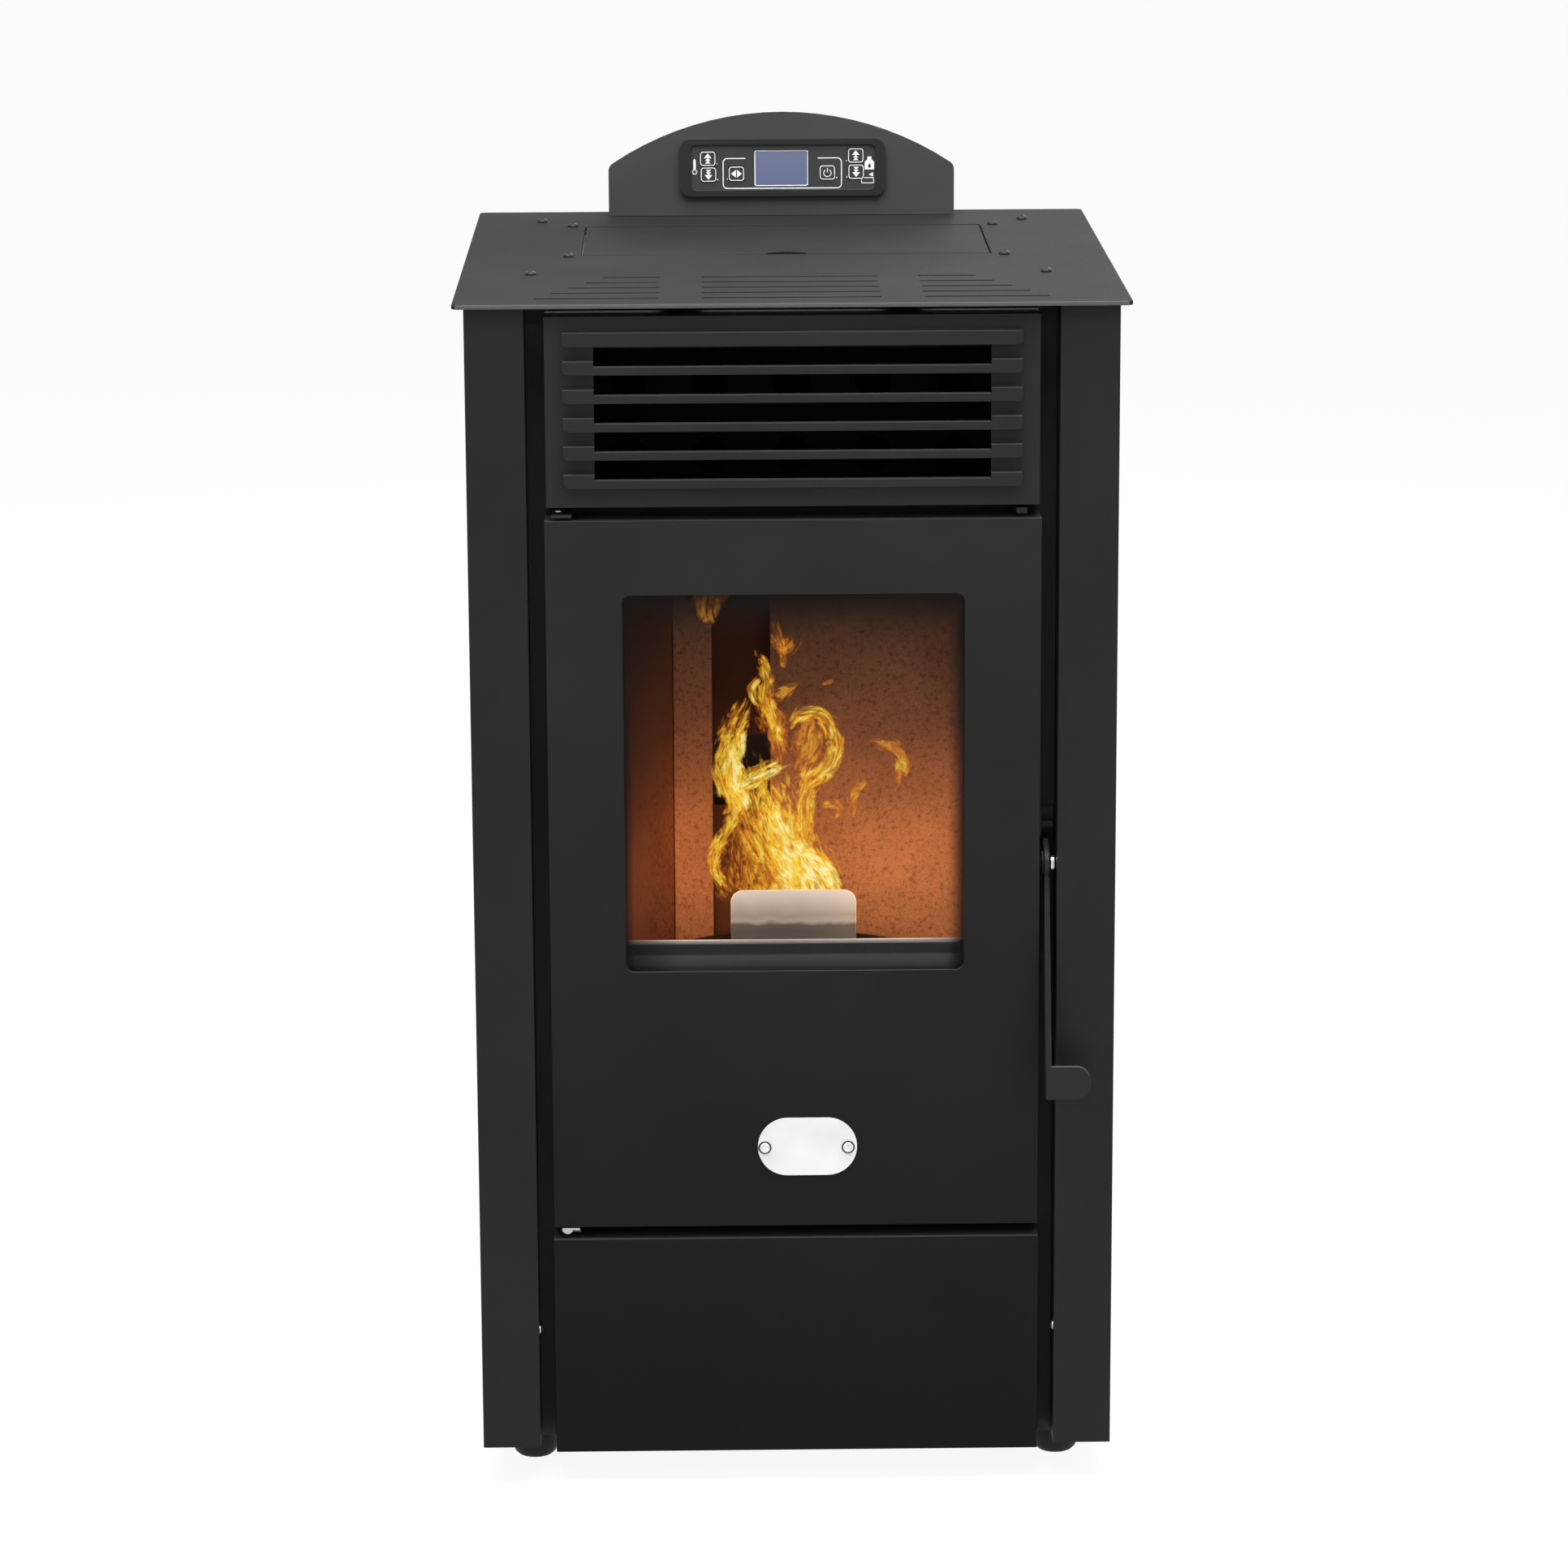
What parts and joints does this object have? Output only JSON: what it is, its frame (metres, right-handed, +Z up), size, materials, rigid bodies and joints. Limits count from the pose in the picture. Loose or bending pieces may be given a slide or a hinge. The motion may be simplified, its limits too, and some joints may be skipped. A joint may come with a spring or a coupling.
{
  "type": "pellet stove",
  "caption": "Free-standing black pellet stove with a glazed hinged door, louvred air grille, hopper lid and arched control console on top.",
  "frame": {"origin": "on the floor, below the middle of the stove including its flue spigot and its door handle", "axes": "+Z up, front towards -Y, +X to the right seen from the front"},
  "size_m": [0.46, 0.567, 0.9225],
  "materials": {
    "casing_black": "fine textured matt black powder coat",
    "top_grey_black": "fine textured powder coat, slightly paler",
    "frame_black": "matt heat-proof paint",
    "bare_steel": "zinc-plated sheet and castings",
    "stainless": "brushed, warmed by the fire",
    "cast_iron": "sooty cast iron and motor castings",
    "vermiculite": null,
    "glass": "clear ceramic glass",
    "rope_seal": "glass-fibre rope",
    "rubber": "moulded rubber",
    "black_plastic": "satin moulded plastic",
    "display": "blue back-lit display",
    "badge": "bare satin plate",
    "circuit_board": "green circuit board"
  },
  "bodies": {
    "root": {"side_panel_left": "casing_black", "side_panel_right": "casing_black", "rear_panel": "casing_black", "base_plate": "casing_black", "air_grille": "casing_black", "lower_front_panel": "casing_black", "top_plate": "top_grey_black", "console_shell": "top_grey_black", "console_cover": "top_grey_black", "front_frame": "frame_black", "hinge_upper": "frame_black", "hinge_lower": "frame_black", "latch_keeper": "frame_black", "heat_exchanger": "bare_steel", "exhaust_housing": "bare_steel", "flue_spigot": "bare_steel", "convection_housing": "bare_steel", "hopper": "bare_steel", "auger_tube": "bare_steel", "igniter": "bare_steel", "air_intake_pipe": "bare_steel", "firebox": "cast_iron", "pot_holder": "cast_iron", "exhaust_motor": "cast_iron", "convection_motor": "cast_iron", "gearmotor": "cast_iron", "liner_back": "vermiculite", "liner_left": "vermiculite", "liner_right": "vermiculite", "baffle_plate": "vermiculite", "foot_front_left": "rubber", "foot_front_right": "rubber", "foot_rear_left": "rubber", "foot_rear_right": "rubber", "keypad_bezel": "black_plastic", "power_inlet": "black_plastic", "display_panel": "display", "control_board": "circuit_board"},
    "door": {"door_panel": "casing_black", "door_inner_frame": "frame_black", "door_glass": "glass", "door_gasket": "rope_seal", "glass_ledge": "frame_black", "badge_plate": "badge", "handle_pivot": "stainless"},
    "handle": {"handle_lever": "casing_black"},
    "lid": {"hopper_lid": "top_grey_black"},
    "drawer": {"ash_drawer": "bare_steel"},
    "pot": {"burn_pot": "cast_iron", "pot_shield": "stainless"},
    "auger": {"auger_screw": "bare_steel"},
    "exhaust_fan": {"exhaust_impeller": "bare_steel"},
    "convection_fan": {"convection_impeller": "bare_steel"},
    "rocker": {"rocker_switch": "black_plastic"},
    "key_1": {"key_1": "black_plastic"},
    "key_2": {"key_2": "black_plastic"},
    "key_3": {"key_3": "black_plastic"},
    "key_4": {"key_4": "black_plastic"},
    "key_5": {"key_5": "black_plastic"},
    "key_6": {"key_6": "black_plastic"}
  },
  "joints": [
    {"name": "door_hinge", "type": "hinge", "parent": "root", "child": "door", "pos_m": [-0.16, -0.2395, 0.443], "axis": [0, 0, -1], "range_deg": [0, 105]},
    {"name": "handle_turn", "type": "hinge", "parent": "door", "child": "handle", "pos_m": [0.175, -0.2395, 0.449], "axis": [-1, 0, 0], "range_deg": [0, 50]},
    {"name": "lid_hinge", "type": "hinge", "parent": "root", "child": "lid", "pos_m": [0, 0.1285, 0.8425], "axis": [-1, 0, 0], "range_deg": [0, 95]},
    {"name": "ash_drawer_slide", "type": "slide", "parent": "root", "child": "drawer", "axis": [0, -1, 0], "range_m": [0, 0.083]},
    {"name": "burn_pot_lift", "type": "slide", "parent": "root", "child": "pot", "axis": [0, 0, 1], "range_m": [0, 0.06]},
    {"name": "auger_turn", "type": "hinge", "parent": "root", "child": "auger", "pos_m": [-0.035, 0.1505, 0.438], "axis": [0, -0.8192, 0.5736], "continuous": true},
    {"name": "exhaust_fan_turn", "type": "hinge", "parent": "root", "child": "exhaust_fan", "pos_m": [0.08, 0.0585, 0.235], "axis": [1, 0, 0], "continuous": true},
    {"name": "convection_fan_turn", "type": "hinge", "parent": "root", "child": "convection_fan", "pos_m": [-0.105, 0.1185, 0.13], "axis": [1, 0, 0], "continuous": true},
    {"name": "rocker_turn", "type": "hinge", "parent": "root", "child": "rocker", "pos_m": [-0.15, 0.2358, 0.358], "axis": [1, 0, 0], "range_deg": [-8, 8]},
    {"name": "key_1_press", "type": "slide", "parent": "root", "child": "key_1", "axis": [0, 1, 0], "range_m": [0, 0.0004], "stiffness_N_per_m": 500},
    {"name": "key_2_press", "type": "slide", "parent": "root", "child": "key_2", "axis": [0, 1, 0], "range_m": [0, 0.0004], "stiffness_N_per_m": 500},
    {"name": "key_3_press", "type": "slide", "parent": "root", "child": "key_3", "axis": [0, 1, 0], "range_m": [0, 0.0004], "stiffness_N_per_m": 500},
    {"name": "key_4_press", "type": "slide", "parent": "root", "child": "key_4", "axis": [0, 1, 0], "range_m": [0, 0.0004], "stiffness_N_per_m": 500},
    {"name": "key_5_press", "type": "slide", "parent": "root", "child": "key_5", "axis": [0, 1, 0], "range_m": [0, 0.0004], "stiffness_N_per_m": 500},
    {"name": "key_6_press", "type": "slide", "parent": "root", "child": "key_6", "axis": [0, 1, 0], "range_m": [0, 0.0004], "stiffness_N_per_m": 500}
  ],
  "couplings": [
    {"joint": "ash_drawer_slide", "follows": "door_hinge", "m_per_rad": 0.045}
  ]
}
